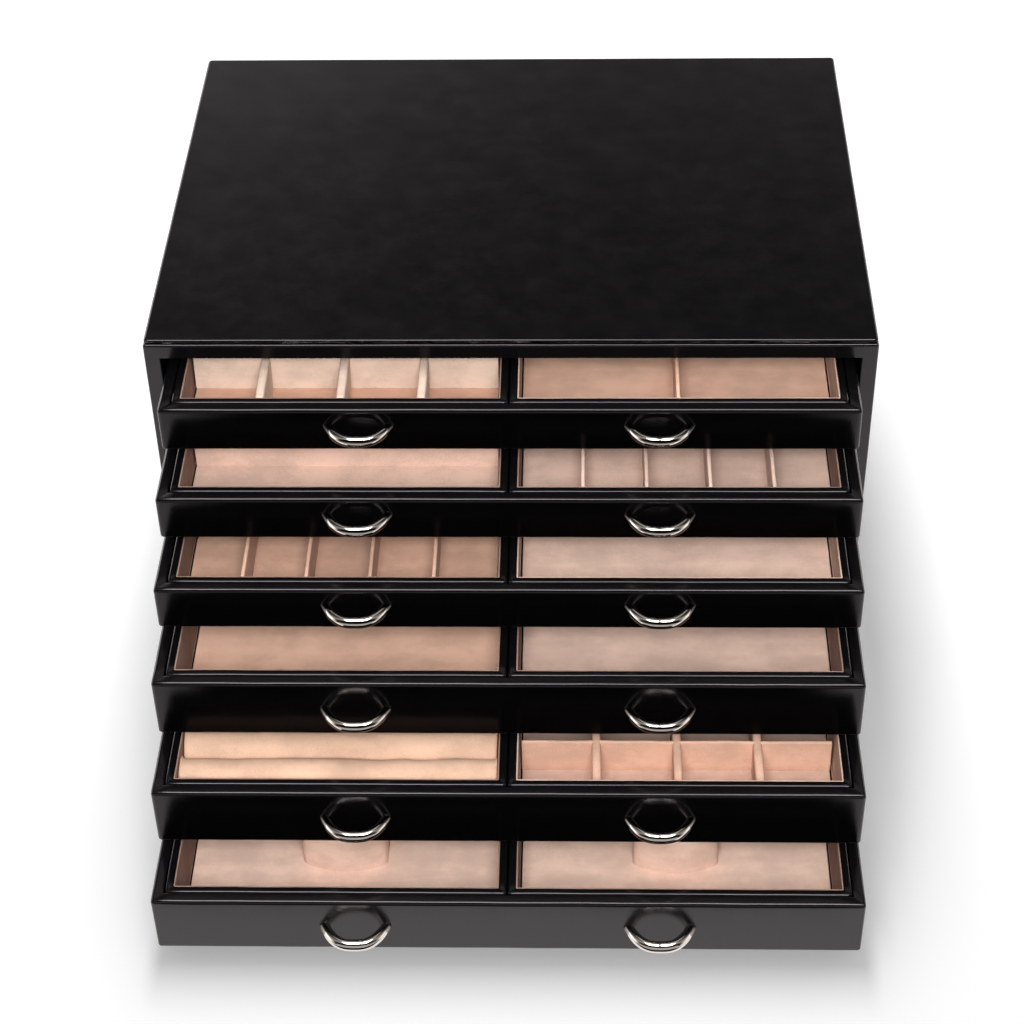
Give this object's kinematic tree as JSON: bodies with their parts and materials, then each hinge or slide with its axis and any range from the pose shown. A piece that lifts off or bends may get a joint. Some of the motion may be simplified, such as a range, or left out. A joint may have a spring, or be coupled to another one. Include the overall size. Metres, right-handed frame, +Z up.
{
  "type": "jewellery chest",
  "caption": "Leather-covered jewellery chest whose sliding drawers hold velour-lined trays with dividers, ring rolls and padded islands, each with half-ring metal pulls.",
  "frame": {"origin": "middle of the underside of the case, on the surface that it stands on", "axes": "+Z up, the drawers open towards -Y, +X to the right as seen from the front"},
  "size_m": [0.38, 0.5125, 0.2408],
  "materials": {
    "black_leather": "smooth semi-gloss black leather with a very fine grain",
    "beige_velour": "short-pile peach-beige velour",
    "polished_nickel": "mirror-polished nickel plate",
    "black_felt": "matt black felt"
  },
  "bodies": {
    "case": {"base_felt": "black_felt", "bottom_board": "black_leather", "left_side_board": "black_leather", "right_side_board": "black_leather", "back_board": "black_leather", "top_board": "black_leather", "cap_panel": "black_leather", "drawer_1_shelf": "black_leather", "drawer_2_shelf": "black_leather", "drawer_3_shelf": "black_leather", "drawer_4_shelf": "black_leather", "drawer_5_shelf": "black_leather"},
    "drawer_1": {"drawer_1_box": "black_leather", "drawer_1_left_pull": "polished_nickel", "drawer_1_left_tray": "black_leather", "drawer_1_left_liner": "beige_velour", "drawer_1_left_cell_grid": "beige_velour", "drawer_1_right_pull": "polished_nickel", "drawer_1_right_tray": "black_leather", "drawer_1_right_liner": "beige_velour", "drawer_1_right_divider": "beige_velour"},
    "drawer_2": {"drawer_2_box": "black_leather", "drawer_2_left_pull": "polished_nickel", "drawer_2_left_tray": "black_leather", "drawer_2_left_liner": "beige_velour", "drawer_2_right_pull": "polished_nickel", "drawer_2_right_tray": "black_leather", "drawer_2_right_liner": "beige_velour"},
    "drawer_3": {"drawer_3_box": "black_leather", "drawer_3_left_pull": "polished_nickel", "drawer_3_left_tray": "black_leather", "drawer_3_left_liner": "beige_velour", "drawer_3_right_pull": "polished_nickel", "drawer_3_right_tray": "black_leather", "drawer_3_right_liner": "beige_velour"},
    "drawer_4": {"drawer_4_box": "black_leather", "drawer_4_left_pull": "polished_nickel", "drawer_4_left_tray": "black_leather", "drawer_4_left_liner": "beige_velour", "drawer_4_right_pull": "polished_nickel", "drawer_4_right_tray": "black_leather", "drawer_4_right_liner": "beige_velour"},
    "drawer_5": {"drawer_5_box": "black_leather", "drawer_5_left_pull": "polished_nickel", "drawer_5_left_tray": "black_leather", "drawer_5_left_liner": "beige_velour", "drawer_5_left_ring_rolls": "beige_velour", "drawer_5_right_pull": "polished_nickel", "drawer_5_right_tray": "black_leather", "drawer_5_right_liner": "beige_velour", "drawer_5_right_cell_grid": "beige_velour"},
    "drawer_6": {"drawer_6_box": "black_leather", "drawer_6_left_pull": "polished_nickel", "drawer_6_left_tray": "black_leather", "drawer_6_left_liner": "beige_velour", "drawer_6_left_island": "beige_velour", "drawer_6_right_pull": "polished_nickel", "drawer_6_right_tray": "black_leather", "drawer_6_right_liner": "beige_velour", "drawer_6_right_island": "beige_velour"}
  },
  "joints": [
    {"name": "drawer_1_slide", "type": "slide", "parent": "case", "child": "drawer_1", "axis": [0, -1, 0], "range_m": [-0.035, 0.181]},
    {"name": "drawer_2_slide", "type": "slide", "parent": "case", "child": "drawer_2", "axis": [0, -1, 0], "range_m": [-0.0684, 0.1476]},
    {"name": "drawer_3_slide", "type": "slide", "parent": "case", "child": "drawer_3", "axis": [0, -1, 0], "range_m": [-0.1023, 0.1137]},
    {"name": "drawer_4_slide", "type": "slide", "parent": "case", "child": "drawer_4", "axis": [0, -1, 0], "range_m": [-0.1378, 0.0782]},
    {"name": "drawer_5_slide", "type": "slide", "parent": "case", "child": "drawer_5", "axis": [0, -1, 0], "range_m": [-0.1744, 0.0416]},
    {"name": "drawer_6_slide", "type": "slide", "parent": "case", "child": "drawer_6", "axis": [0, -1, 0], "range_m": [-0.2102, 0.0058]}
  ]
}
